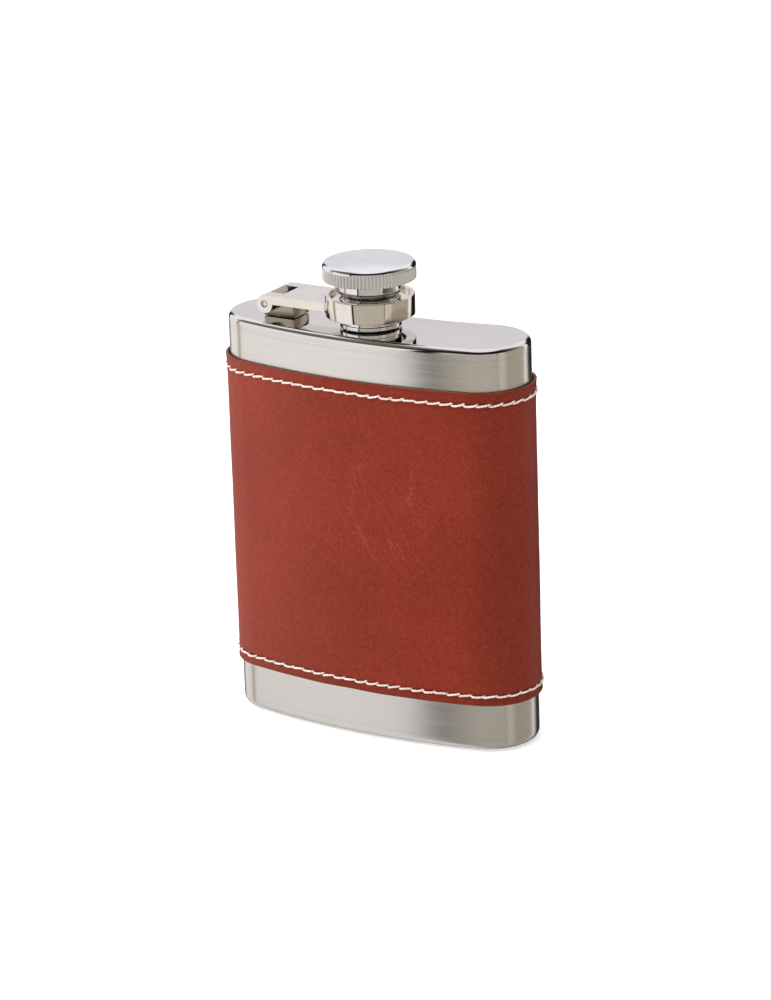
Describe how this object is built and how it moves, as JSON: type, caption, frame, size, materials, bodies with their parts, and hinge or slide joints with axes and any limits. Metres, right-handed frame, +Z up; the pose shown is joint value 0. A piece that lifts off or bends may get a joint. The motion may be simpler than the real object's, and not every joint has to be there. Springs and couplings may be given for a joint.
{
  "type": "hip flask",
  "caption": "Curved steel pocket flask in a stitched leather wrap, with a knurled screw cap kept on the body by a hinged arm.",
  "frame": {"origin": "centre of the flask's base, on the surface it stands on", "axes": "+Z up along the flask's height, X along its width with the cap's hinge on the -X side, -Y out of its convex front"},
  "size_m": [0.0724, 0.0256, 0.1015],
  "materials": {
    "brushed_steel": "fine horizontal brushing",
    "polished_steel": "mirror polish",
    "polished_nickel": "polished casting",
    "cap_chrome": "bright plating",
    "silicone": "moulded, matt",
    "leather": "smooth russet leather with a fine grain",
    "waxed_thread": "waxed thread"
  },
  "bodies": {
    "flask": {"body_wall": "brushed_steel", "top_plate": "polished_steel", "bottom_plate": "brushed_steel", "neck": "polished_steel", "hinge_bracket": "polished_nickel", "leather_wrap": "leather", "top_stitching": "waxed_thread", "bottom_stitching": "waxed_thread"},
    "arm": {"cap_arm": "polished_nickel", "hinge_pin": "polished_steel"},
    "cap_seal": {"cap_gasket": "silicone"},
    "cap": {"cap_shell": "cap_chrome", "cap_core": "cap_chrome", "cap_sleeve": "cap_chrome"}
  },
  "joints": [
    {"name": "arm_swing", "type": "hinge", "parent": "flask", "child": "arm", "pos_m": [-0.0225, -0.0014, 0.09035], "axis": [0, -1, 0], "range_deg": [0, 172]},
    {"name": "cap_rise", "type": "slide", "parent": "arm", "child": "cap_seal", "axis": [0, 0, 1], "range_m": [0, 0.0025]},
    {"name": "cap_turn", "type": "hinge", "parent": "cap_seal", "child": "cap", "pos_m": [0, -0.0014, 0.0955], "axis": [0, 0, 1], "range_deg": [0, 720]}
  ],
  "couplings": [
    {"joint": "cap_rise", "follows": "cap_turn", "m_per_rad": 0.00019894}
  ]
}
